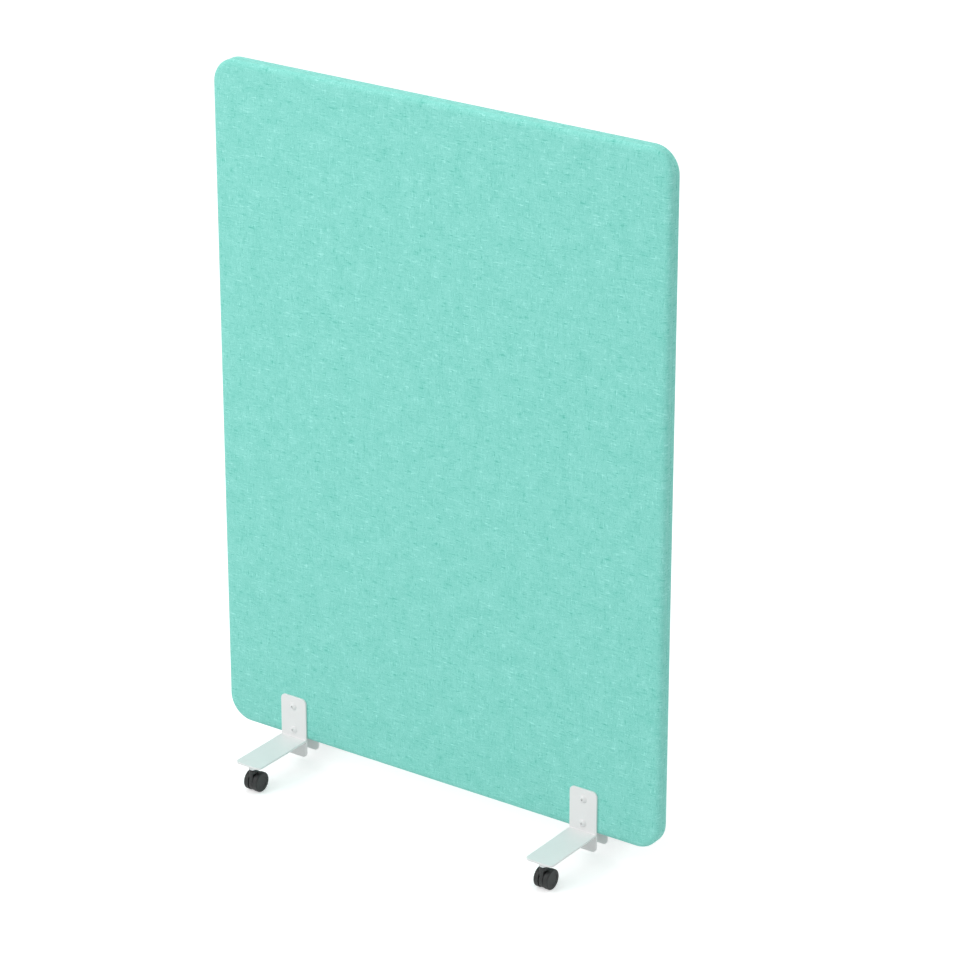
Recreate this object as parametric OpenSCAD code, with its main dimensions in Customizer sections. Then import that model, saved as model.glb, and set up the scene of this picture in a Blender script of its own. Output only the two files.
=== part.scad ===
// Acoustic divider screen: an upholstered panel on four flat steel feet with twin-wheel casters.
// Frame: X along the width, the front faces -Y, Z up, origin on the floor under the middle.

/* [Panel] */
// Width of the upholstered panel
panel_w = 1000; // [800:10:1400]
// Height of the upholstered panel
panel_h = 1350; // [1000:10:1800]
// Radius of the panel's four corners
corner_r = 50; // [40:1:80]
// Radius that rounds the panel's edge towards each face
edge_r = 8; // [5:0.5:8.5]
// How far the panel's underside hangs below the tops of the legs
panel_drop = 1; // [0:0.5:3]

/* [Upholstery] */
// Thickness of the fabric cover
fabric_t = 1.2; // [0.8:0.1:1.6]
// Thickness of the padding on each face
pad_t = 7.8; // [7:0.2:12]
// Play around the loose core board
core_play = 0.3; // [0.2:0.1:1]

/* [Frame] */
// Thickness of the wooden frame and the core
frame_t = 16; // [14:1:24]
// Width of the rails and stiles
rail_w = 45; // [40:1:60]
// Length of each arm of a corner block
corner_arm = 95; // [88:1:130]
// Diameter of the frame dowels
dowel_d = 8; // [6:0.5:9]
// Length of the frame dowels
dowel_l = 40; // [30:1:50]
// Distance between the two dowels of a joint
dowel_pitch = 22; // [16:1:26]
// Height of the blocks that the feet bolt through
foot_block_h = 60; // [50:1:100]
// How far a foot block runs past the upright on each side
foot_block_side = 10; // [5:1:30]

/* [Feet] */
// Distance from the panel's side to the middle of each foot
foot_inset = 162; // [120:1:240]
// Width of the uprights and legs
plate_w = 60; // [50:1:80]
// Thickness of the steel plate
plate_t = 4; // [3:0.5:6]
// Radius of the plate corners
plate_r = 10; // [4:0.5:12]
// Rounding of the plates' edges
plate_edge = 0.8; // [0.4:0.1:1.2]
// Height of each upright
upright_h = 125; // [115:1:150]
// How far the upright hangs below the leg's underside
upright_drop = 34; // [24:1:40]
// Length of each leg in front of its upright
leg_l = 148; // [120:1:220]
// Leg size of the weld under each leg
weld_leg = 3; // [2:0.5:5]
// Radius of the fillet between each leg and its upright
fillet_r = 2; // [1:0.5:4]
// Height of the lower screw above the leg's top
screw_low = 16; // [13:0.5:20]
// Distance between the two screws of a foot
screw_pitch = 50; // [44:1:56]

/* [Foot screws] */
// Thread diameter of the foot screws
screw_d = 8; // [6:0.5:8.5]
// Length of a screw's shank
screw_l = 30; // [24:1:34]
// Diameter of the button heads
head_d = 16; // [13:0.5:18]
// Height of the button heads
head_h = 4.4; // [3:0.2:6]
// Width across the flats of the head's socket
socket_af = 5; // [4:0.5:6]
// Depth of the head's socket
socket_depth = 2.6; // [1.5:0.1:2.8]
// Outer diameter of the sleeve nut
sleeve_d = 10; // [9.5:0.1:10.5]
// Length of the sleeve nut's barrel
sleeve_l = 36; // [30:1:40]
// Outer diameter of the bushings through the panel
bushing_d = 14; // [12.5:0.5:18]

/* [Casters] */
// Height from the floor to the leg's underside
caster_h = 60; // [58:1:75]
// Diameter of the wheels
wheel_d = 40; // [36:1:41]
// Width of each wheel
wheel_w = 10.5; // [9:0.5:13]
// Distance between the two wheels of a caster
wheel_gap = 10.6; // [10:0.2:14]
// How far the axle trails behind the swivel axis
trail = 10; // [8:0.5:14]
// Distance from the leg's end to the swivel axis
caster_inset = 17.5; // [14:0.5:30]
// Diameter of the axle
axle_d = 5; // [4:0.5:6]
// Width of the caster body between the wheels
web_w = 8.6; // [8:0.1:9.2]
// Diameter of the swivel pin
pin_d = 6; // [4.5:0.5:6.5]
// Diameter of the stem's thread
stem_d = 8; // [6:0.5:10]
// Diameter of the welded nut boss under the leg
boss_d = 16; // [14:0.5:20]
// Height of the welded nut boss
boss_h = 9; // [7:0.5:10]

/* [Hidden] */
$fn = 96;
cut = 1;                      // overrun of every cut
glue_fit = 0.05;              // radial play of glued dowels and bushings
run_fit = 0.05;               // radial play of the turning fits
press_fit = 0.02;             // radial play of the axle in its body
hole_play = 0.25;             // radial play of a screw or sleeve in its plate
seat_gap = 0.3;               // gap between faces that turn on each other

// Panel
panel_t = frame_t + 2 * (pad_t + fabric_t);
leg_top = caster_h + plate_t;
panel_z = leg_top - panel_drop;
mid_z = panel_z + panel_h / 2;
frame_w = panel_w - 2 * fabric_t;
frame_h = panel_h - 2 * fabric_t;
frame_z = panel_z + fabric_t;
frame_r = corner_r - fabric_t;
open_w = frame_w - 2 * rail_w;
open_h = frame_h - 2 * rail_w;
dowel_hole_d = dowel_d + 2 * glue_fit;
dowel_hole_depth = dowel_l / 2 + cut;
dowel_tip = 1;                // chamfer on the dowel's ends
rail_mid_z = [frame_z + rail_w / 2, frame_z + frame_h - rail_w / 2];
stile_end_z = [frame_z + corner_arm, frame_z + frame_h - corner_arm];

// Feet
foot_x = panel_w / 2 - foot_inset;
face_y = panel_t / 2;
upright_z = caster_h - upright_drop;
leg_y = face_y + plate_t;
leg_end = leg_y + leg_l;
screw_z = [leg_top + screw_low, leg_top + screw_low + screw_pitch];
block_w = plate_w + 2 * foot_block_side;
block_z = frame_z + rail_w;
bushing_hole_d = bushing_d + 2 * glue_fit;
plate_hole_d = sleeve_d + 2 * hole_play;
sleeve_bore_d = screw_d + 2 * run_fit;
sleeve_floor = 2;             // solid end of the sleeve nut's bore, beyond the screw's tip
head_sphere_r = (pow(head_d / 2, 2) + pow(head_h, 2)) / (2 * head_h);

// Casters
swivel_y = leg_end - caster_inset;
wheel_r = wheel_d / 2;
rim_t = 3;                    // thickness of a wheel's rim
face_t = 2.6;                 // thickness of a wheel's closed outer face
hub_d = 11;                   // outer diameter of a wheel's hub
rib_t = 1.4;                  // thickness of a wheel's ribs
rib_count = 6;
rib_recess = 1;               // how far ribs and hub stand back from the wheel's inner face
tread_r = 2.6;                // rounding of a wheel's outer edge
inner_edge_r = 1;             // rounding of a wheel's inner edge
dish_d = 24;                  // diameter of the shallow dish in a wheel's outer face
dish_depth = 0.5;
axle_l = wheel_gap + 2 * (wheel_w - face_t - seat_gap);
axle_tip = 0.6;               // chamfer on the axle's ends
web_gap = 0.9;                // how far the web stays inside the wheels' outline
web_edge = 1.2;               // rounding of the web's edges
web_floor = 5;                // height of the web's flat underside above the floor
web_r = wheel_r - web_gap;
thrust_d = 9.5;               // diameter of the thrust faces beside the web
thrust_t = (wheel_gap - web_w) / 2 + rib_recess - seat_gap;
stem_collar_d = 14;
stem_collar_t = 2.5;
body_boss_d = 15;             // diameter of the body's swivel boss
boss_clear = 1.2;             // height of the swivel boss above the wheels
boss_edge = 1.5;              // rounding of the swivel boss's top
collar_z = caster_h - boss_h - stem_collar_t;
body_top = collar_z - seat_gap;
body_boss_z = wheel_d + boss_clear;
pin_reach = 18.5;             // length of the swivel pin below the stem's collar
pin_z = collar_z - pin_reach;
pin_hole_floor = 0.8;         // play under the swivel pin
thread_play = 0.5;            // room above the stem's thread
thread_l = boss_h - thread_play;
ring_t = 1.2;                 // thickness of the snap ring on the swivel pin
ring_grip = 0.5;              // depth of the ring's groove in the pin
ring_out = 0.6;               // how far the ring stands out of the pin
ring_up = 2;                  // height of the ring above the swivel boss's underside
ring_z = body_boss_z + ring_up;
ring_play = 0.25;

FRONT = 0;
REAR = 1;
LEFT = -1;
RIGHT = 1;
PLACES = [["front", FRONT], ["rear", REAR]];

// Shared shapes

// A rod of diameter d along Y, from y0 to y1
module rod_y(d, y0, y1) {
    translate([0, y0, 0]) rotate([-90, 0, 0]) cylinder(d = d, h = y1 - y0);
}

// A rod of diameter d along X, centred
module rod_x(d, l) {
    rotate([0, 90, 0]) cylinder(d = d, h = l, center = true);
}

// A quarter of a disc, between its +x and +y radii
module quarter_disc(r) {
    intersection() {
        circle(r = r);
        square(r);
    }
}

// Section through a panel's edge: outwards along x, from y0 inside to the face at t, rounded by q
module edge_section(reach, y0, t, q) {
    translate([0, y0]) square([reach, t - q - y0]);
    translate([0, y0]) square([reach - q, t - y0]);
    translate([reach - q, t - q]) quarter_disc(q);
}

// Half a panel, centred on X and Z: from the plane y0 to its face at -t, with a rounded edge q
module half_slab(w, h, r, y0, t, q) {
    translate([r - w / 2, -t, r - h / 2]) cube([w - 2 * r, t - y0, h - 2 * r]);
    for (side = [0, 1]) mirror([side, 0, 0])
        translate([w / 2 - r, 0, r - h / 2]) linear_extrude(h - 2 * r)
            mirror([0, 1]) edge_section(r, y0, t, q);
    for (side = [0, 1]) mirror([0, 0, side])
        translate([w / 2 - r, 0, h / 2 - r]) rotate([0, -90, 0]) linear_extrude(w - 2 * r)
            mirror([0, 1]) edge_section(r, y0, t, q);
    for (sx = [0, 1], sz = [0, 1]) mirror([sx, 0, 0]) mirror([0, 0, sz])
        translate([w / 2 - r, 0, h / 2 - r]) rotate([90, 0, 0])
            rotate_extrude(angle = 90) edge_section(r, y0, t, q);
}

// Both screw places of both feet, or of one foot
module at_screws(sides = [LEFT, RIGHT]) {
    for (s = sides, z = screw_z) translate([s * foot_x, 0, z]) children();
}

// Front or rear half of the screen
module on_side(place) {
    mirror([0, place, 0]) children();
}

// Upholstery

module cover(place) {
    on_side(place) color([0.33, 0.75, 0.67]) difference() {
        translate([0, 0, mid_z]) difference() {
            half_slab(panel_w, panel_h, corner_r, 0, panel_t / 2, edge_r);
            half_slab(frame_w, frame_h, frame_r, -cut, panel_t / 2 - fabric_t, edge_r - fabric_t);
        }
        at_screws() rod_y(bushing_hole_d, -face_y - cut, 0);
    }
}

module padding(place) {
    on_side(place) color([0.93, 0.93, 0.9]) difference() {
        translate([0, 0, mid_z])
            half_slab(frame_w, frame_h, frame_r, frame_t / 2, panel_t / 2 - fabric_t, edge_r - fabric_t);
        at_screws() rod_y(bushing_hole_d, -face_y, 0);
    }
}

// Frame

module dowel_holes_x() {
    for (s = [-1, 1]) translate([0, 0, s * dowel_pitch / 2]) rod_x(dowel_hole_d, 2 * dowel_hole_depth);
}

// The places of the dowels along the rails' ends and the stiles' ends
module at_rail_ends() {
    for (side = [0, 1], z = rail_mid_z) mirror([side, 0, 0])
        translate([frame_w / 2 - corner_arm, 0, z]) children();
}

module at_stile_ends() {
    for (side = [0, 1], z = stile_end_z) mirror([side, 0, 0])
        translate([(frame_w - rail_w) / 2, 0, z]) rotate([0, 90, 0]) children();
}

module rail(z) {
    color([0.82, 0.68, 0.47]) difference() {
        translate([corner_arm - frame_w / 2, -frame_t / 2, z])
            cube([frame_w - 2 * corner_arm, frame_t, rail_w]);
        at_rail_ends() dowel_holes_x();
        at_screws() rod_y(bushing_hole_d, -frame_t, frame_t);
    }
}

module stile(side) {
    color([0.82, 0.68, 0.47]) difference() {
        translate([side * (frame_w - rail_w) / 2 - rail_w / 2, -frame_t / 2, frame_z + corner_arm])
            cube([rail_w, frame_t, frame_h - 2 * corner_arm]);
        at_stile_ends() dowel_holes_x();
    }
}

// An L-shaped block with the panel's round corner; up is 1 at the top
module corner_block(side, up) {
    color([0.76, 0.6, 0.4]) difference() {
        translate([0, 0, mid_z]) mirror([side == LEFT ? 1 : 0, 0, 0]) mirror([0, 0, 1 - up])
            translate([frame_w / 2, frame_t / 2, frame_h / 2]) rotate([90, 0, 0])
                linear_extrude(frame_t) difference() {
                    union() {
                        translate([-corner_arm, -corner_arm]) square([corner_arm, corner_arm - frame_r]);
                        translate([-corner_arm, -corner_arm]) square([corner_arm - frame_r, corner_arm]);
                        translate([-frame_r, -frame_r]) quarter_disc(frame_r);
                    }
                    translate([-corner_arm - cut, -corner_arm - cut])
                        square(corner_arm - rail_w + cut);
                }
        at_rail_ends() dowel_holes_x();
        at_stile_ends() dowel_holes_x();
    }
}

module dowel() {
    for (s = [-1, 1]) translate([0, 0, s * dowel_pitch / 2]) {
        rod_x(dowel_d, dowel_l - 2 * dowel_tip);
        for (end = [0, 1]) mirror([end, 0, 0]) translate([dowel_l / 2 - dowel_tip, 0, 0])
            rotate([0, 90, 0]) cylinder(d1 = dowel_d, d2 = dowel_d - 2 * dowel_tip, h = dowel_tip);
    }
}

module frame_dowels() {
    color([0.9, 0.8, 0.6]) {
        at_rail_ends() dowel();
        at_stile_ends() dowel();
    }
}

module foot_block(side) {
    color([0.76, 0.6, 0.4]) difference() {
        translate([side * foot_x - block_w / 2, -frame_t / 2, block_z])
            cube([block_w, frame_t, foot_block_h]);
        at_screws() rod_y(bushing_hole_d, -frame_t, frame_t);
    }
}

module foot_bushings() {
    color([0.7, 0.72, 0.74]) difference() {
        at_screws() rod_y(bushing_d, -face_y, face_y);
        at_screws() rod_y(plate_hole_d, -face_y - cut, face_y + cut);
    }
}

module acoustic_core() {
    color([0.85, 0.83, 0.62]) difference() {
        translate([core_play - open_w / 2, -frame_t / 2, block_z + core_play])
            cube([open_w - 2 * core_play, frame_t, open_h - 2 * core_play]);
        for (s = [LEFT, RIGHT])
            translate([s * foot_x - block_w / 2 - core_play, -frame_t, block_z - cut])
                cube([block_w + 2 * core_play, 2 * frame_t, foot_block_h + core_play + cut]);
    }
}

// Feet

module foot(place, side) {
    on_side(place) color([0.9, 0.91, 0.91]) translate([side * foot_x, 0, 0]) difference() {
        union() {
            translate([0, -face_y - plate_t / 2, upright_z + upright_h / 2]) plate(plate_w, upright_h);
            leg();
            translate([plate_w / 2 - plate_r, -leg_y, caster_h]) rotate([0, -90, 0])
                linear_extrude(plate_w - 2 * plate_r) weld_section();
            translate([plate_w / 2 - plate_edge, -leg_y, leg_top]) rotate([0, -90, 0])
                linear_extrude(plate_w - 2 * plate_edge) fillet_section();
            translate([0, -swivel_y, caster_h - boss_h]) cylinder(d = boss_d, h = boss_h);
        }
        for (z = screw_z) translate([0, 0, z]) rod_y(plate_hole_d, -leg_y - cut, 0);
        translate([0, -swivel_y, caster_h - boss_h - cut])
            cylinder(d = stem_d + 2 * run_fit, h = boss_h + cut);
    }
}

// A plate across Y with round corners and rounded edges, centred
module plate(w, h) {
    for (side = [0, 1]) mirror([0, side, 0]) half_slab(w, h, plate_r, 0, plate_t / 2, plate_edge);
}

// The leg ends square in the middle of the upright's thickness
module leg() {
    difference() {
        translate([0, leg_l / 2 + plate_r - leg_end, caster_h + plate_t / 2]) rotate([90, 0, 0])
            plate(plate_w, leg_l + 2 * plate_r);
        translate([-plate_w, plate_t / 2 - leg_y, caster_h - cut])
            cube([2 * plate_w, 3 * plate_r, plate_t + 2 * cut]);
    }
}

// The hollow fillet reaches into the leg and the upright
module fillet_section() {
    difference() {
        translate([-plate_t / 2, -fillet_r]) square(fillet_r + plate_t / 2);
        translate([fillet_r, -fillet_r]) circle(r = fillet_r);
    }
}

// The weld fills the corner between the leg's underside and the upright
module weld_section() {
    polygon([[0, 0], [-weld_leg, 0], [0, -weld_leg]]);
}

module button_head() {
    difference() {
        rotate([90, 0, 0]) rotate_extrude() intersection() {
            translate([0, head_h - head_sphere_r]) circle(r = head_sphere_r);
            square([head_d / 2, head_h]);
        }
        translate([0, socket_depth - head_h, 0]) rotate([90, 0, 0])
            cylinder(d = socket_af / cos(30), h = socket_depth + cut, $fn = 6);
    }
}

module foot_screws(side) {
    color([0.86, 0.87, 0.87]) at_screws([side]) translate([0, -leg_y, 0]) {
        button_head();
        rod_y(screw_d, 0, screw_l);
    }
}

module sleeve_nuts(side) {
    color([0.86, 0.87, 0.87]) at_screws([side]) difference() {
        union() {
            translate([0, leg_y, 0]) mirror([0, 1, 0]) button_head();
            rod_y(sleeve_d, leg_y - sleeve_l, leg_y);
        }
        rod_y(sleeve_bore_d, leg_y - sleeve_l - cut, screw_l - leg_y + sleeve_floor);
    }
}

// Casters: the swivel axis stands at the origin and the floor is z = 0

module at_caster(place, side) {
    on_side(place) translate([side * foot_x, -swivel_y, 0]) children();
}

module at_axle() {
    translate([0, trail, wheel_r]) children();
}

module caster_stem() {
    color([0.62, 0.64, 0.66]) {
        difference() {
            translate([0, 0, pin_z]) cylinder(d = pin_d, h = collar_z - pin_z);
            difference() {
                translate([0, 0, ring_z]) cylinder(d = pin_d + cut, h = ring_t);
                translate([0, 0, ring_z - cut]) cylinder(d = pin_d - 2 * ring_grip, h = ring_t + 2 * cut);
            }
        }
        translate([0, 0, collar_z]) cylinder(d = stem_collar_d, h = stem_collar_t, $fn = 6);
        translate([0, 0, collar_z + stem_collar_t]) cylinder(d = stem_d, h = thread_l);
    }
}

module caster_ring() {
    gap = pin_d / 2;
    color([0.5, 0.52, 0.54]) translate([0, 0, ring_z + run_fit]) difference() {
        cylinder(d = pin_d + 2 * ring_out, h = ring_t - 2 * run_fit);
        translate([0, 0, -cut]) cylinder(d = pin_d - 2 * ring_grip + 2 * run_fit, h = ring_t + 2 * cut);
        translate([0, -gap / 2, -cut]) cube([pin_d, gap, ring_t + 2 * cut]);
    }
}

// Half section of the round web between the wheels, with its axis along y
module web_section() {
    translate([0, -web_w / 2]) square([web_r - web_edge, web_w]);
    translate([0, web_edge - web_w / 2]) square([web_r, web_w - 2 * web_edge]);
    for (s = [-1, 1]) translate([web_r - web_edge, s * (web_w / 2 - web_edge)]) circle(r = web_edge);
}

module web() {
    difference() {
        at_axle() rotate([0, 90, 0]) rotate_extrude() web_section();
        translate([-web_w, trail - wheel_r, -cut]) cube([2 * web_w, wheel_d, web_floor + cut]);
    }
}

// Half section of the boss that the swivel pin turns in
module boss_section() {
    square([body_boss_d / 2 - boss_edge, body_top - body_boss_z]);
    square([body_boss_d / 2, body_top - body_boss_z - boss_edge]);
    translate([body_boss_d / 2 - boss_edge, body_top - body_boss_z - boss_edge]) quarter_disc(boss_edge);
}

module caster_body() {
    color([0.2, 0.21, 0.21]) difference() {
        union() {
            web();
            intersection() {
                translate([0, 0, wheel_r]) cylinder(d = body_boss_d, h = body_boss_z - wheel_r);
                translate([-web_w / 2, -body_boss_d, wheel_r])
                    cube([web_w, 2 * body_boss_d, body_boss_z - wheel_r]);
            }
            translate([0, 0, body_boss_z]) rotate_extrude() boss_section();
            at_axle() rod_x(thrust_d, web_w + 2 * thrust_t);
        }
        at_axle() rod_x(axle_d + 2 * press_fit, wheel_gap + 2 * cut);
        translate([0, 0, pin_z - pin_hole_floor]) cylinder(d = pin_d + 2 * run_fit, h = body_top);
        translate([0, 0, ring_z - ring_play])
            cylinder(d = pin_d + 2 * (ring_out + ring_play), h = ring_t + 2 * ring_play);
    }
}

module caster_axle() {
    color([0.7, 0.72, 0.74]) at_axle() {
        rod_x(axle_d, axle_l - 2 * axle_tip);
        for (end = [0, 1]) mirror([end, 0, 0]) translate([axle_l / 2 - axle_tip, 0, 0])
            rotate([0, 90, 0]) cylinder(d1 = axle_d, d2 = axle_d - 2 * axle_tip, h = axle_tip);
    }
}

// Half section of a wheel: its axis is the y axis, its inner face lies at 0 and its outer face at wheel_w
module wheel_section() {
    difference() {
        union() {
            translate([0, inner_edge_r]) square([wheel_r, wheel_w - inner_edge_r - tread_r]);
            square([wheel_r - inner_edge_r, inner_edge_r]);
            square([wheel_r - tread_r, wheel_w]);
            translate([wheel_r - inner_edge_r, inner_edge_r]) circle(r = inner_edge_r);
            translate([wheel_r - tread_r, wheel_w - tread_r]) circle(r = tread_r);
        }
        translate([0, -cut]) square([wheel_r - rim_t, wheel_w - face_t + cut]);
        translate([0, wheel_w - dish_depth]) square([dish_d / 2, dish_depth + cut]);
    }
}

module wheel_spokes() {
    difference() {
        union() {
            cylinder(d = hub_d, h = wheel_w - face_t - rib_recess);
            for (i = [0:rib_count - 1]) rotate([0, 0, i * 360 / rib_count]) translate([0, -rib_t / 2, 0])
                cube([wheel_r - rim_t / 2, rib_t, wheel_w - face_t - rib_recess]);
        }
        translate([0, 0, -cut]) cylinder(d = axle_d + 2 * run_fit, h = wheel_w);
    }
}

// side is -1 for the wheel on the left and 1 for the one on the right
module caster_wheel(side) {
    color([0.24, 0.25, 0.25]) at_axle() mirror([side < 0 ? 1 : 0, 0, 0])
        translate([wheel_gap / 2, 0, 0]) rotate([0, 90, 0]) {
            rotate_extrude() wheel_section();
            translate([0, 0, rib_recess]) wheel_spokes();
        }
}

rail(frame_z + frame_h - rail_w);  // frame_rail_top
rail(frame_z);  // frame_rail_bottom
stile(LEFT);  // frame_stile_left
stile(RIGHT);  // frame_stile_right
corner_block(LEFT, 1);  // corner_block_top_left
corner_block(RIGHT, 1);  // corner_block_top_right
corner_block(LEFT, 0);  // corner_block_bottom_left
corner_block(RIGHT, 0);  // corner_block_bottom_right
frame_dowels();
foot_block(LEFT);  // foot_block_left
foot_block(RIGHT);  // foot_block_right
foot_bushings();
acoustic_core();
padding(FRONT);  // padding_front
padding(REAR);  // padding_rear
cover(FRONT);  // cover_front
cover(REAR);  // cover_rear
foot(FRONT, LEFT);  // foot_front_left
foot(FRONT, RIGHT);  // foot_front_right
foot(REAR, LEFT);  // foot_rear_left
foot(REAR, RIGHT);  // foot_rear_right
foot_screws(LEFT);  // foot_screws_left
foot_screws(RIGHT);  // foot_screws_right
sleeve_nuts(LEFT);  // sleeve_nuts_left
sleeve_nuts(RIGHT);  // sleeve_nuts_right
for (p = PLACES, s = [["left", LEFT], ["right", RIGHT]]) {
    name = str("caster_", p[0], "_", s[0], "_");
    at_caster(p[1], s[1]) caster_stem();
    at_caster(p[1], s[1]) caster_ring();
    at_caster(p[1], s[1]) caster_body();
    at_caster(p[1], s[1]) caster_axle();
    at_caster(p[1], s[1]) caster_wheel(LEFT);
    at_caster(p[1], s[1]) caster_wheel(RIGHT);
}
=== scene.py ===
"""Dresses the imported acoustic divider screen: upholstery, finishes, floor, light and camera."""
import math

import bpy
import numpy as np
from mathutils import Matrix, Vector


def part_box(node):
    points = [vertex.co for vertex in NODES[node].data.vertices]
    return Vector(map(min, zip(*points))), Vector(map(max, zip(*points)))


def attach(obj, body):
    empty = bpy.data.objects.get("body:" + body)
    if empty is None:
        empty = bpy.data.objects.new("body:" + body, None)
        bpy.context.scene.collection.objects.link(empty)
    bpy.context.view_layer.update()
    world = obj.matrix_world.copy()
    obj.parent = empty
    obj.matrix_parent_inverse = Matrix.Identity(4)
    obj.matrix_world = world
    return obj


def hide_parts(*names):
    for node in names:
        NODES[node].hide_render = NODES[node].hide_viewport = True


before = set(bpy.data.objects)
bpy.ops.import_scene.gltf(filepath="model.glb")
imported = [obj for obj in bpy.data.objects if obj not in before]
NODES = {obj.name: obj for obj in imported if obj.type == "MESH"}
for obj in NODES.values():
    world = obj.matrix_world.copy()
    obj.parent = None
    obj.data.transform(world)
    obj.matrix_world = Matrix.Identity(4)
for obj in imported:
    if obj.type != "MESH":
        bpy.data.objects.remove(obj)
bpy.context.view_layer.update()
MM = 0.001

# Sizes in metres. Those that the CAD source has too are the same there.
CORNER_R = 50 * MM
EDGE_R = 8 * MM
CLOTH_T = 1.2 * MM
FRAME_T = 16 * MM
SCREW_Z = (0.080, 0.130)
HOLE_R = 7.3 * MM  # openings for the bushings, hidden under the uprights
SOFT_EDGE = 13 * MM  # width over which the padded edge turns from the face to the side
PAD_PLAY = 0.05 * MM  # between the cover's inside and the foam
REAR_ROLL = 7.3  # where on the roll of cloth the rear cover was cut

# The mesh of the upholstery
FINE, COARSE = 3.2 * MM, 10 * MM  # between its lines, near the feet and corners and away from them
LINE_EASE = 6  # how many coarse steps it takes to get from fine to coarse
LINE_SAMPLES = 4001
BESIDE_PLATE, ABOVE_PLATE, BESIDE_BAND = 14 * MM, 16 * MM, 40 * MM  # how far the fine lines reach
BAND = 60 * MM  # width of the border where the mesh turns from a grid into rounded rings
BLEND = 150 * MM  # how far from its corner the grid's lines lean towards the round corner
RING_STEP = 1.7  # between the rings of the flat border, in fine steps
ROUND_STEPS = 9  # rings over the rounded edge
# The last rings, down the side to the seam, where the cloth turns in: inset and y, in mm
SEAM = ((0, 5), (0, 1.5), (0.1, 0.8), (0.35, 0.35), (0.8, 0.12), (1.1, 0.03))

# The cloth simulation that swells the cover
CELL = 10 * MM
FRAMES = 20
QUALITY = 5
PRESSURE = 75.0
STRETCH = 0.03  # how much smaller the cover is cut than the panel
FOAM_HOLD = 0.5
CAP = 3 * MM
PRESSED = 0.15 * MM  # how far an upright presses the cover in

# The swell without the simulation: its height, and how far it takes to rise
PLAIN_SWELL, EDGE_RISE, PLATE_RISE = 1.2 * MM, 30 * MM, 20 * MM

# The fabric's weave
YARN = 1.8 * MM
WANDER = ((90.0, 0.3), (950.0, 0.25))  # noise scale, and how far a yarn strays in yarn widths
# Strokes along the weft and the warp: scale along a yarn, step from yarn to yarn, start and weight
STROKES = ((0.11, 7.31, 0.0, 1.2), (0.13, 5.77, 40.0, 0.9))
CROWN = 0.25  # how much the yarns underneath show
MELANGE = 3.2  # how strongly the strokes change the tone
PATCHES = (-0.8, 3.2)  # how weak and how strong the strokes get from place to place
FLECKS = 0.9
CLOUDS = 0.28
FUZZ = 0.35

# Light
FLOOR_GLOW = 0.45
WORLD_LIGHT = 0.72

COVER_LO, COVER_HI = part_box("cover_front")
WIDTH = COVER_HI.x - COVER_LO.x
HEIGHT = COVER_HI.z - COVER_LO.z
MID_Z = (COVER_HI.z + COVER_LO.z) / 2
FACE_Y = -COVER_LO.y
FEET = [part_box(f"foot_front_{side}") for side in ("left", "right")]
PLATES = [(lo.x, hi.x, hi.z) for lo, hi in FEET]
SCREWS = [((x0 + x1) / 2, z) for x0, x1, _ in PLATES for z in SCREW_Z]


def lines(low, high, zones):
    """Positions from low to high, fine apart inside the zones and coarse apart away from them."""
    at = np.linspace(low, high, LINE_SAMPLES)
    away = np.min([np.maximum(np.maximum(a - at, at - b), 0) for a, b in zones], axis=0)
    size = FINE + (COARSE - FINE) * np.clip(away / (LINE_EASE * COARSE), 0, 1)
    count = np.concatenate([[0], np.cumsum(np.diff(at) / ((size[1:] + size[:-1]) / 2))])
    return np.interp(np.linspace(0, count[-1], int(round(count[-1])) + 1), count, at)


def grid_quads(nx, nz):
    """The quads of a grid whose points are counted up one column after the other."""
    step = nz + 1
    return [
        (i * step + j, (i + 1) * step + j, (i + 1) * step + j + 1, i * step + j + 1)
        for i in range(nx)
        for j in range(nz)
    ]


def outline_point(half, near, tangent, inset):
    """Where a grid line meets the rounded outline: (place along the side, distance behind the
    straight side, outward direction). near is the line's distance from the grid's corner."""
    if near >= BLEND:
        return tangent, 0.0, (0.0, 1.0)
    sign = 1 if tangent > 0 else -1
    quarter = CORNER_R * math.pi / 4
    along = near + (BAND - CORNER_R + quarter) * (1 - (1 - near / BLEND) ** 2)
    if along >= quarter:
        return sign * (half - CORNER_R - (along - quarter)), 0.0, (0.0, 1.0)
    turn = math.pi / 4 - along / CORNER_R
    side, out = math.sin(turn), math.cos(turn)
    reach = CORNER_R - inset
    return sign * (half - CORNER_R + reach * side), reach * (1 - out), (sign * side, out)


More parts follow.
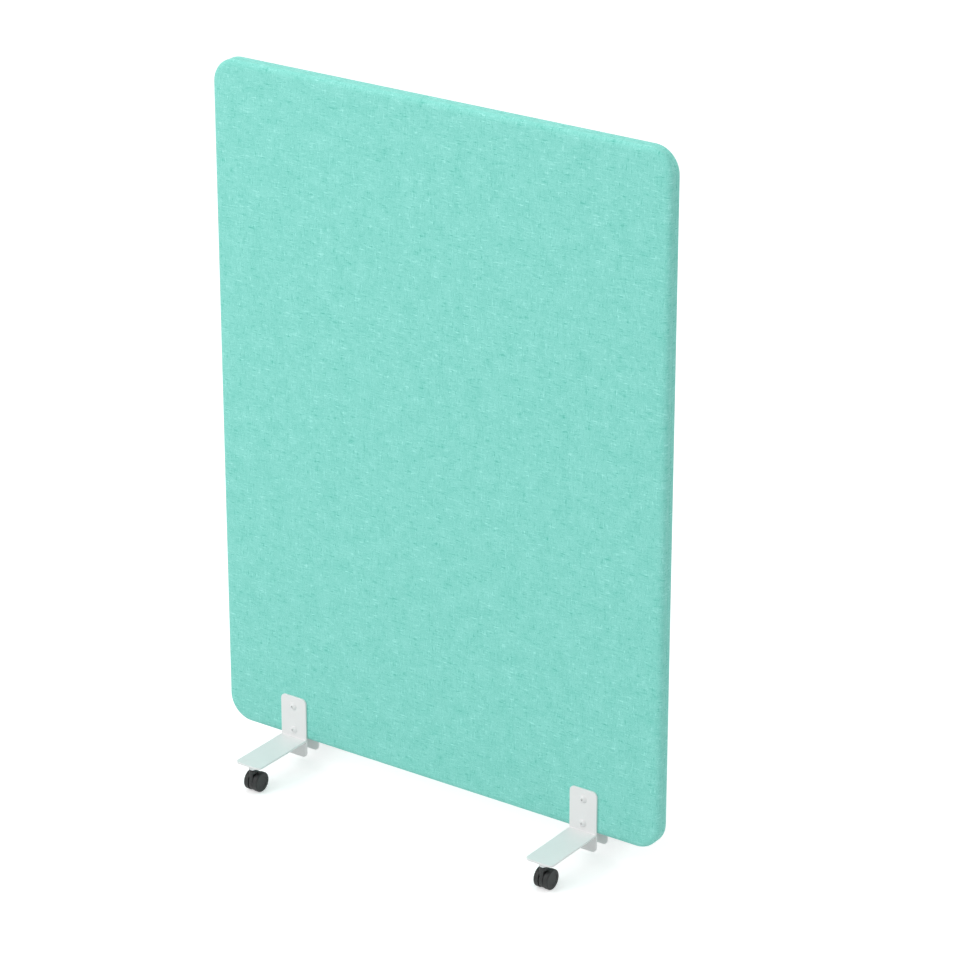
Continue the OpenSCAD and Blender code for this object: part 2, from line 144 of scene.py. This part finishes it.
class Slab:
    """One face of a panel with a rounded edge, as quads that lie in rings round a grid. Each point
    has its place across the panel, its depth behind the face, the way the surface looks there and
    its place on the flat cloth."""

    def __init__(self):
        grid_w, grid_h = WIDTH / 2 - BAND, HEIGHT / 2 - BAND
        near = [(x0 - BESIDE_PLATE, x1 + BESIDE_PLATE) for x0, x1, _ in PLATES]
        near += [(grid_w - BESIDE_BAND, grid_w), (-grid_w, BESIDE_BAND - grid_w)]
        top = max(z for _, _, z in PLATES) - MID_Z + ABOVE_PLATE
        self.xs = lines(-grid_w, grid_w, near)
        self.zs = lines(-grid_h, grid_h, [(-grid_h, top), (grid_h - BESIDE_BAND, grid_h)])
        nx, nz = len(self.xs) - 1, len(self.zs) - 1
        grid = np.array([(x, z) for x in self.xs for z in self.zs])
        self.rings = [(grid, np.zeros(len(grid)), np.tile((0.0, 0.0, 1.0), (len(grid), 1)), grid)]
        self.faces = grid_quads(nx, nz)
        self.edge = [(i, nz, 0, 1) for i in range(nx)] + [(nx, j, 1, 1) for j in range(nz, 0, -1)]
        self.edge += [(i, 0, 0, -1) for i in range(nx, 0, -1)] + [(0, j, 1, -1) for j in range(nz)]
        self.last = [i * (nz + 1) + j for i, j, _, _ in self.edge]
        inner = grid[self.last]
        flat, self.outward = self.outline(SOFT_EDGE)
        steps = max(3, round((BAND - SOFT_EDGE) / (RING_STEP * FINE)))
        for k in range(1, steps + 1):
            places = inner + (flat - inner) * k / steps
            self.ring(places, 0.0, 0.0, places)
        self.flat_places, self.run, self.at = flat, 0.0, (SOFT_EDGE, 0.0)
        for k in range(1, ROUND_STEPS + 1):
            turn = math.pi / 2 * k / ROUND_STEPS
            lean = math.atan2(EDGE_R * math.sin(turn), SOFT_EDGE * math.cos(turn))
            self.ring_round(SOFT_EDGE * (1 - math.sin(turn)), EDGE_R * (1 - math.cos(turn)), lean)
        for inset, y in SEAM:
            self.ring_round(inset * MM, FACE_Y - y * MM, math.pi / 2)
        self.close()

    def outline(self, inset):
        """Points of the rounded outline at that inset, and the directions out of it."""
        points, outward = [], []
        for i, j, across, sign in self.edge:
            line, at = (self.zs, j) if across else (self.xs, i)
            near = min(line[at] - line[0], line[-1] - line[at])
            half, other = (HEIGHT / 2, WIDTH / 2) if across else (WIDTH / 2, HEIGHT / 2)
            place, back, way = outline_point(half, near, line[at], inset)
            out = sign * (other - inset - back)
            points.append((out, place) if across else (place, out))
            outward.append((sign * way[1], way[0]) if across else (way[0], sign * way[1]))
        return np.array(points), np.array(outward)

    def ring(self, points, depth, lean, cloth):
        """Adds a ring of points and the quads that join it to the last one."""
        start, count = sum(len(r[0]) for r in self.rings), len(points)
        way = np.column_stack([self.outward * math.sin(lean), np.full(count, math.cos(lean))])
        self.rings.append((points, np.full(count, depth), way, cloth))
        now = list(range(start, start + count))
        for k in range(count):
            m = (k + 1) % count
            self.faces.append((self.last[k], self.last[m], now[m], now[k]))
        self.last = now

    def ring_round(self, inset, depth, lean):
        """Adds a ring beyond the flat face, and counts how far the cloth has run over the edge."""
        self.run += math.dist(self.at, (inset, depth))
        self.at = inset, depth
        self.ring(self.outline(inset)[0], depth, lean, self.flat_places + self.outward * self.run)

    def close(self):
        """Joins the rings' arrays, and opens the holes for the bushings."""
        self.places, self.depth, self.way, self.cloth = map(np.concatenate, zip(*self.rings))
        faces = np.array(self.faces)
        centre = self.places[faces].mean(1)
        keep = np.ones(len(faces), bool)
        for x, z in SCREWS:
            at = np.array([x, z - MID_Z])
            inside = np.hypot(*(centre - at).T) < HOLE_R
            rim = np.intersect1d(faces[inside], faces[~inside])
            off = self.places[rim] - at
            self.places[rim] = at + off / np.hypot(*off.T)[:, None] * HOLE_R
            keep &= ~inside
        self.faces = [tuple(map(int, f)) for f in faces[keep]]

    def points(self, inward):
        """The front half's surface, that far inside the cover's own."""
        rise = swell_at(self.places)
        across = self.places - self.way[:, :2] * inward
        y = self.depth - FACE_Y + self.way[:, 2] * inward - rise
        return np.column_stack([across[:, 0], y, across[:, 1] + MID_Z])


def inset_of(places):
    """Distance of each place in the panel's plane from the panel's rounded outline."""
    over = np.abs(places) - (np.array([WIDTH, HEIGHT]) / 2 - CORNER_R)
    round_part = np.hypot(*np.maximum(over, 0).T)
    return CORNER_R - round_part - np.minimum(over.max(1), 0)


def under_plate(places, margin):
    """Which places an upright covers, or comes near to."""
    x, z = places[:, 0], places[:, 1] + MID_Z
    covered = [(x > x0 - margin) & (x < x1 + margin) & (z < z1 + margin) for x0, x1, z1 in PLATES]
    return np.any(covered, axis=0)


def plain_swell(places):
    x, z = places[:, 0], places[:, 1] + MID_Z
    rise = 1 - np.exp(-np.maximum(inset_of(places) - EDGE_R, 0) / EDGE_RISE)
    for x0, x1, z1 in PLATES:
        away = np.hypot(np.maximum(np.maximum(x0 - x, x - x1), 0), np.maximum(z - z1, 0))
        rise = np.minimum(rise, 1 - np.exp(-away / PLATE_RISE))
    return rise * PLAIN_SWELL


def simulated_swell():
    """Swells a flat cover with Blender's Cloth: it is cut a little small, the foam presses it out
    and holds it back, and the panel's edge and the uprights hold it fast. Returns how far it
    stands out at the points of an even grid."""
    nx, nz = round(WIDTH / CELL), round(HEIGHT / CELL)
    grid = [np.linspace(-half, half, n + 1) for half, n in ((WIDTH / 2, nx), (HEIGHT / 2, nz))]
    places = np.stack(np.meshgrid(*grid, indexing="ij"), axis=-1).reshape(-1, 2)
    flat = np.column_stack([places[:, 0], np.zeros(len(places)), places[:, 1]])
    mesh = bpy.data.meshes.new("swell_trial")
    mesh.from_pydata(flat.tolist(), [], grid_quads(nx, nz))
    trial = bpy.data.objects.new("swell_trial", mesh)
    bpy.context.scene.collection.objects.link(trial)
    plate, inset = under_plate(places, CELL / 2), inset_of(places)
    held = (inset < EDGE_R) | plate
    group = trial.vertex_groups.new(name="hold")
    group.add(np.flatnonzero(held).tolist(), 1.0, "REPLACE")
    group.add(np.flatnonzero(~held).tolist(), FOAM_HOLD, "REPLACE")
    modifier = trial.modifiers.new("cloth", "CLOTH")
    cloth = modifier.settings
    cloth.quality = QUALITY
    cloth.vertex_group_mass = group.name
    cloth.shrink_min = STRETCH
    cloth.use_pressure = True
    cloth.uniform_pressure_force = PRESSURE
    cloth.effector_weights.gravity = 0
    modifier.collision_settings.use_collision = False
    modifier.point_cache.frame_start, modifier.point_cache.frame_end = 1, FRAMES
    for moment in range(1, FRAMES + 1):
        bpy.context.scene.frame_set(moment)
    shape = trial.evaluated_get(bpy.context.evaluated_depsgraph_get()).data
    after = np.empty(len(places) * 3, np.float32)
    shape.vertices.foreach_get("co", after)
    bpy.data.objects.remove(trial)
    bpy.data.meshes.remove(mesh)
    bpy.context.scene.frame_set(1)
    rise = np.clip(-after.reshape(-1, 3)[:, 1], 0, CAP)
    rise[plate & (inset > EDGE_R)] = -PRESSED
    return rise.reshape(nx + 1, nz + 1)


SWELL = simulated_swell()


def swell_at(places):
    """How far the padding stands out of the flat CAD face at each place."""
    if SWELL is None:
        return plain_swell(places)
    last = np.array(SWELL.shape) - 1
    at = (places / np.array([WIDTH, HEIGHT]) + 0.5) * last
    cell = np.clip(np.floor(at), 0, last - 1).astype(int)
    (u, v), (i, j) = np.clip(at - cell, 0, 1).T, cell.T
    low = SWELL[i, j] * (1 - u) + SWELL[i + 1, j] * u
    high = SWELL[i, j + 1] * (1 - u) + SWELL[i + 1, j + 1] * u
    return low * (1 - v) + high * v


def make_object(name, points, faces, cloth, rear):
    """A smooth mesh of the front half, or its mirror image for the rear half."""
    points = points * np.array([1, -1 if rear else 1, 1])
    if rear:
        faces = [f[::-1] for f in faces]
    used, where = np.unique(np.array(faces), return_inverse=True)
    mesh = bpy.data.meshes.new(name)
    mesh.from_pydata(points[used].tolist(), [], where.reshape(-1, 4).tolist())
    weave = np.zeros((len(used), 3), np.float32)
    weave[:, :2] = cloth[used] + (REAR_ROLL if rear else 0)
    mesh.attributes.new("weave", "FLOAT_VECTOR", "POINT").data.foreach_set("vector", weave.ravel())
    mesh.polygons.foreach_set("use_smooth", [True] * len(mesh.polygons))
    obj = bpy.data.objects.new(name, mesh)
    bpy.context.scene.collection.objects.link(obj)
    return obj


def cover(slab, name, node, rear):
    """A fabric cover: face, rounded edge, and the side to the seam, where the cloth turns in."""
    obj = make_object(name, slab.points(0.0), slab.faces, slab.cloth, rear)
    thickness = obj.modifiers.new("thickness", "SOLIDIFY")
    thickness.thickness = CLOTH_T
    thickness.offset = -1
    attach(obj, "screen")
    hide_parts(node)
    obj.data.materials.append(MATERIALS["fabric"])


def pad(slab, name, node, rear):
    """The foam under a cover: the same surface a little further in, without the rings of the seam,
    and its flat back on the wooden frame."""
    front = slab.points(CLOTH_T + PAD_PLAY)
    count, around = len(front), len(slab.last)
    end = count - len(SEAM) * around
    side = range(end - around, end)  # the front's last ring lies in the plane of the back
    front[list(side), 1] = -FRAME_T / 2
    back = front * np.array([1, 0, 1]) - np.array([0, FRAME_T / 2, 0])
    faces = [f for f in slab.faces if max(f) < end]
    edges = {(f[k], f[(k + 1) % 4]) for f in faces for k in range(4)}
    rims = [(a, b) for a, b in edges if (b, a) not in edges and a not in side]
    faces += [tuple(v if v in side else v + count for v in f[::-1]) for f in faces]
    faces += [(b, a, a + count, b + count) for a, b in rims]
    cloth = np.tile(slab.cloth, (2, 1))
    obj = make_object(name, np.concatenate([front, back]), faces, cloth, rear)
    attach(obj, "screen")
    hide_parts(node)
    obj.data.materials.append(MATERIALS["padding"])


class Finish:
    """A material with its Principled shader, and a short way to add nodes to it."""

    def __init__(self, name, **shader):
        self.material = bpy.data.materials.new(name)
        self.material.use_nodes = True
        self.tree = self.material.node_tree
        self.shader = self.tree.nodes["Principled BSDF"]
        for key, value in shader.items():
            socket = key.replace("_", " ").title().replace("Ior", "IOR")
            self.shader.inputs[socket].default_value = value

    def add(self, kind, inputs=(), **settings):
        """A node with its inputs set by place or name to values or to other nodes' outputs."""
        node = self.tree.nodes.new("ShaderNode" + kind)
        for key, value in settings.items():
            setattr(node, key, value)
        for key, value in dict(inputs).items():
            if isinstance(value, bpy.types.Node):
                value = value.outputs[0]
            if isinstance(value, bpy.types.NodeSocket):
                self.tree.links.new(value, node.inputs[key])
            else:
                node.inputs[key].default_value = value
        return node

    def math(self, operation, *values):
        return self.add("Math", enumerate(values), operation=operation)

    def object_place(self):
        return self.add("TexCoord").outputs["Object"]

    def noise(self, vector, scale, detail=2.0, rough=0.5):
        inputs = {"Vector": vector, "Scale": scale, "Detail": detail, "Roughness": rough}
        return self.add("TexNoise", inputs)

    def stretched(self, vector, *scales):
        return self.add("VectorMath", {0: vector, 1: scales}, operation="MULTIPLY")

    def blended(self, first, first_share, second):
        """A weighted mean of two values."""
        parts = [self.math("MULTIPLY", first, first_share)]
        parts.append(self.math("MULTIPLY", second, 1 - first_share))
        return self.math("ADD", *parts)

    def spread(self, value, low, high):
        """value from 0 to 1 as a number from low to high."""
        return self.add("MapRange", {"Value": value, "To Min": low, "To Max": high})

    def tint(self, share, low, high):
        """A colour between two, linear values."""
        mix = self.add("Mix", data_type="RGBA")
        self.tree.links.new(share.outputs[0], mix.inputs[0])
        mix.inputs[6].default_value = (*low, 1)
        mix.inputs[7].default_value = (*high, 1)
        return mix.outputs[2]

    def bump(self, height, distance, strength=1.0):
        node = self.add("Bump", {"Height": height, "Distance": distance, "Strength": strength})
        self.tree.links.new(node.outputs[0], self.shader.inputs["Normal"])

    def link(self, value, name):
        socket = value.outputs[0] if isinstance(value, bpy.types.Node) else value
        self.tree.links.new(socket, self.shader.inputs[name])


def yarn_places(f, cloth):
    """A point's place in the weave, counted in yarns both ways. The yarns stray a little."""
    place = cloth
    for scale, reach in WANDER:
        wander = f.noise(cloth, scale, 1.0).outputs["Color"]
        loose = f.add("VectorMath", {0: wander, 1: (YARN * reach,) * 3}, operation="MULTIPLY")
        place = f.add("VectorMath", {0: place, 1: loose}, operation="ADD")
    parts = f.add("SeparateXYZ", {0: f.stretched(place, 1 / YARN, 1 / YARN, 0.0)})
    return parts.outputs[0], parts.outputs[1]


def weave_height(f, u, v, column, row):
    """The height of a plain weave, where warp and weft lie on top by turns."""
    warp = f.math("ABSOLUTE", f.math("SINE", f.math("MULTIPLY", u, math.pi)))
    weft = f.math("ABSOLUTE", f.math("SINE", f.math("MULTIPLY", v, math.pi)))
    cross = f.math("ABSOLUTE", f.math("MODULO", f.math("ADD", column, row), 2.0))
    over = f.add("Mix", {0: cross, 2: weft, 3: warp})
    return f.add("Mix", {0: CROWN, 2: over, 3: f.math("MAXIMUM", warp, weft)})


def melange_tone(f, cloth, u, v, column, row):
    """The tone of the yarns, about 0.5: strokes along each yarn, flecks, and slow changes."""
    strokes = []
    for (way, yarn), (scale, step, start, weight) in zip(((u, row), (v, column)), STROKES):
        parts = {0: f.math("MULTIPLY", way, scale), 1: f.math("MULTIPLY", yarn, step), 2: start}
        stroke = f.math("SUBTRACT", f.noise(f.add("CombineXYZ", parts), 1.0, 1.0), 0.5)
        sharp = f.math("MULTIPLY", stroke, f.math("ABSOLUTE", stroke))
        strokes.append(f.math("MULTIPLY", sharp, weight))
    patchy = f.spread(f.noise(f.stretched(cloth, 60.0, 110.0, 0.0), 1.0, 1.0), *PATCHES)
    fleck = f.math("SUBTRACT", f.noise(f.stretched(cloth, 380.0, 900.0, 0.0), 1.0, 1.0), 0.5)
    cloud = f.math("SUBTRACT", f.noise(cloth, 26.0, 3.0), 0.5)
    tone = f.math("MULTIPLY", f.math("MULTIPLY", f.math("ADD", *strokes), patchy), MELANGE)
    tone = f.math("ADD", tone, f.math("MULTIPLY", fleck, FLECKS))
    tone = f.math("ADD", tone, f.math("MULTIPLY", cloud, CLOUDS))
    return f.math("ADD", tone, 0.5)


def fabric():
    """A plain weave of melange yarns: each yarn changes tone along its length, so that short
    strokes run both ways over the cloth."""
    f = Finish("fabric", roughness=0.92, sheen_weight=0.12, sheen_roughness=0.45)
    cloth = f.add("Attribute", attribute_name="weave").outputs["Vector"]
    u, v = yarn_places(f, cloth)
    column, row = f.math("FLOOR", u), f.math("FLOOR", v)
    height = weave_height(f, u, v, column, row)
    tone = melange_tone(f, cloth, u, v, column, row)
    f.link(f.tint(tone, (0.095, 0.53, 0.43), (0.395, 0.894, 0.82)), "Base Color")
    f.link(f.spread(height, 0.97, 0.86), "Roughness")
    fuzz = f.noise(cloth, 2600.0, 2.0)
    f.bump(f.math("ADD", height, f.math("MULTIPLY", fuzz, FUZZ)), 0.22 * MM, 0.6)
    return f.material


def foam():
    f = Finish("foam", roughness=0.95)
    at = f.object_place()
    cells = f.add("TexVoronoi", {"Vector": at, "Scale": 900.0})
    f.link(f.tint(f.noise(at, 30.0), (0.72, 0.71, 0.63), (0.84, 0.83, 0.78)), "Base Color")
    f.link(f.spread(cells, 0.88, 0.99), "Roughness")
    f.bump(cells, 0.4 * MM, 0.7)
    return f.material


def wool_board():
    """The acoustic core: pressed mineral fibre."""
    f = Finish("core_board", roughness=0.95)
    fibre = f.noise(f.stretched(f.object_place(), 500.0, 1800.0, 700.0), 1.0, 3.0, 0.6)
    f.link(f.tint(fibre, (0.52, 0.49, 0.27), (0.77, 0.74, 0.5)), "Base Color")
    f.link(f.spread(fibre, 0.99, 0.88), "Roughness")
    f.bump(fibre, 0.6 * MM)
    return f.material


def wood(name, dark, light, axis):
    """Planed wood with its grain along one axis."""
    f = Finish(name, roughness=0.55)
    at = f.object_place()
    along = [k == axis for k in range(3)]
    bend = f.noise(at, 9.0, 2.0)
    rings = f.noise(f.stretched(at, *(1.6 if a else 26.0 for a in along)), 4.0, 3.0, 0.6)
    pores = f.noise(f.stretched(at, *(24.0 if a else 900.0 for a in along)), 1.0, 2.0)
    f.link(f.tint(f.blended(rings, 0.7, bend), dark, light), "Base Color")
    f.link(f.spread(pores, 0.45, 0.7), "Roughness")
    f.bump(f.math("ADD", rings, f.math("MULTIPLY", pores, 0.5)), 0.2 * MM, 0.5)
    return f.material


def powder_coat(name, low, high, rough):
    """White coating with a faint orange peel and a little unevenness in its gloss."""
    f = Finish(name, roughness=rough, ior=1.5)
    at = f.object_place()
    peel = f.noise(at, 850.0, 1.5)
    haze = f.noise(at, 22.0, 3.0)
    f.link(f.tint(haze, low, high), "Base Color")
    f.link(f.spread(f.blended(haze, 0.6, peel), rough - 0.07, rough + 0.09), "Roughness")
    f.bump(peel, 0.05 * MM, 0.8)
    return f.material


def plated(name, low, high, rough):
    """Zinc-plated or bright steel with fine turning marks and patches in its gloss."""
    f = Finish(name, roughness=rough, metallic=1.0)
    at = f.object_place()
    patch = f.noise(at, 60.0, 3.0)
    marks = f.noise(f.stretched(at, 300.0, 300.0, 5200.0), 1.0, 2.0)
    f.link(f.tint(patch, low, high), "Base Color")
    f.link(f.spread(patch, rough - 0.08, rough + 0.12), "Roughness")
    f.bump(marks, 0.02 * MM, 0.7)
    return f.material


def plastic(name, low, high, rough):
    """Moulded nylon: an eroded surface, and edges painted paler, partly as rubbed wear and partly
    as a painted highlight.
    """
    f = Finish(name, roughness=rough, ior=1.5)
    at = f.object_place()
    grain = f.noise(at, 2400.0, 2.0)
    scuff = f.noise(f.stretched(at, 240.0, 600.0, 240.0), 1.0, 4.0, 0.65)
    # Convex edges painted paler: partly rubbed wear, partly a painted highlight
    edge = {"Value": f.add("NewGeometry").outputs["Pointiness"], "From Min": 0.52, "From Max": 0.62}
    wear_and_highlight = f.add("MapRange", {**edge, "To Min": 0.0, "To Max": 0.45})
    share = f.math("ADD", f.math("MULTIPLY", scuff, 0.6), f.math("MULTIPLY", wear_and_highlight, scuff))
    f.link(f.tint(share, low, high), "Base Color")
    f.link(f.spread(f.blended(scuff, 0.7, grain), rough - 0.1, rough + 0.12), "Roughness")
    f.bump(grain, 0.03 * MM, 0.8)
    return f.material


def floor_finish():
    """Plain white floor: the camera and mirrors see it white, and it keeps the shadow."""
    f = Finish("floor", base_color=(0.8, 0.8, 0.8, 1), roughness=0.9)
    path = f.add("LightPath")
    rays = f.math("ADD", path.outputs["Is Camera Ray"], path.outputs["Is Glossy Ray"])
    strength = f.math("MULTIPLY", f.math("MINIMUM", rays, 1.0), FLOOR_GLOW)
    glow = f.add("Emission", {"Color": (1, 1, 1, 1), "Strength": strength})
    both = f.add("AddShader", {0: f.shader, 1: glow})
    f.tree.links.new(both.outputs[0], f.tree.nodes["Material Output"].inputs["Surface"])
    return f.material


def build_world():
    world = bpy.data.worlds.new("studio")
    bpy.context.scene.world = world
    world.use_nodes = True
    tree = world.node_tree
    path = tree.nodes.new("ShaderNodeLightPath")
    white = tree.nodes.new("ShaderNodeMath")
    white.operation = "MAXIMUM"
    tree.links.new(path.outputs["Is Camera Ray"], white.inputs[0])
    white.inputs[1].default_value = WORLD_LIGHT
    tree.nodes["Background"].inputs["Color"].default_value = (1, 1, 1, 1)
    tree.links.new(white.outputs[0], tree.nodes["Background"].inputs["Strength"])


def build_floor():
    bpy.ops.mesh.primitive_plane_add(size=24)
    floor = bpy.context.object
    floor.name = "floor"
    floor.data.materials.append(floor_finish())


def area_light(name, place, aim, size, power):
    data = bpy.data.lights.new(name, "AREA")
    data.shape = "RECTANGLE"
    data.size, data.size_y = size
    data.energy = power
    lamp = bpy.data.objects.new(name, data)
    lamp.location = place
    lamp.rotation_euler = (Vector(aim) - Vector(place)).to_track_quat("-Z", "Y").to_euler()
    bpy.context.scene.collection.objects.link(lamp)


def build_camera(azimuth, elevation, distance, aim, focal):
    """A camera round the object: azimuth 0 looks along +Y. focal is in picture widths."""
    data = bpy.data.cameras.new("camera")
    data.sensor_width = 36
    data.lens = data.sensor_width * focal
    data.clip_start, data.clip_end = 0.1, 100
    a, e = math.radians(azimuth), math.radians(elevation)
    back = Vector((math.sin(a) * math.cos(e), -math.cos(a) * math.cos(e), math.sin(e)))
    camera = bpy.data.objects.new("camera", data)
    camera.location = Vector(aim) + back * distance
    camera.rotation_euler = (-back).to_track_quat("-Z", "Y").to_euler()
    bpy.context.scene.collection.objects.link(camera)
    bpy.context.scene.camera = camera


# Colours between which a finish varies, linear values
WHITE = (0.8, 0.805, 0.805), (0.855, 0.86, 0.86)
WHITE_SCREW = (0.77, 0.78, 0.78), (0.82, 0.83, 0.83)
BLACK = (0.012, 0.013, 0.013), (0.025, 0.027, 0.027)
MATERIALS = {
    "fabric": fabric(),
    "padding": foam(),
    "core": wool_board(),
    "wood": wood("wood", (0.5, 0.31, 0.13), (0.72, 0.5, 0.26), axis=2),
    "block_wood": wood("block_wood", (0.43, 0.25, 0.1), (0.63, 0.42, 0.2), axis=0),
    "dowel_wood": wood("dowel_wood", (0.6, 0.42, 0.2), (0.8, 0.62, 0.36), axis=0),
    "white_steel": powder_coat("white_steel", *WHITE, 0.42),
    "white_screw": powder_coat("white_screw", *WHITE_SCREW, 0.34),
    "zinc_steel": plated("zinc_steel", (0.58, 0.6, 0.63), (0.72, 0.73, 0.74), 0.34),
    "spring_steel": plated("spring_steel", (0.2, 0.21, 0.22), (0.32, 0.33, 0.34), 0.4),
    "caster_plastic": plastic("caster_plastic", *BLACK, 0.5),
    "wheel_plastic": plastic("wheel_plastic", *BLACK, 0.55),
}

# Which material a node has, by how its name starts or ends
STARTS = {
    "foot_front_": "white_steel",
    "foot_rear_": "white_steel",
    "foot_screws": "white_screw",
    "sleeve_nuts": "white_screw",
    "frame_rail": "wood",
    "frame_stile": "wood",
    "corner_block": "block_wood",
    "foot_block": "block_wood",
    "frame_dowels": "dowel_wood",
    "acoustic_core": "core",
    "padding": "padding",
    "cover": "fabric",
}
ENDS = {
    "_stem": "zinc_steel",
    "_axle": "zinc_steel",
    "bushings": "zinc_steel",
    "_ring": "spring_steel",
    "_body": "caster_plastic",
    "_wheel_a": "wheel_plastic",
    "_wheel_b": "wheel_plastic",
}


def slot_of(name):
    fits = [slot for start, slot in STARTS.items() if name.startswith(start)]
    fits += [slot for end, slot in ENDS.items() if name.endswith(end)]
    return fits[0]


for name, node in NODES.items():
    if not node.material_slots:
        node.data.materials.append(None)
    for slot in node.material_slots:
        slot.material = MATERIALS[slot_of(name)]

SLAB = Slab()
for place, rear in (("front", False), ("rear", True)):
    cover(SLAB, f"upholstery_{place}", f"cover_{place}", rear)
    pad(SLAB, f"foam_pad_{place}", f"padding_{place}", rear)

build_world()
build_floor()
area_light("key", place=(-2.6, -4.2, 4.4), aim=(0, 0, 0.7), size=(3.0, 3.0), power=125)
area_light("top", place=(0.3, 0.4, 5.0), aim=(0, 0, 0.5), size=(4.0, 4.0), power=43)
build_camera(
    azimuth=35.02, elevation=22.85, distance=6.954, aim=(0.0906, 0, 0.7041), focal=3799 / 960
)
bpy.context.scene.view_settings.view_transform = "Standard"
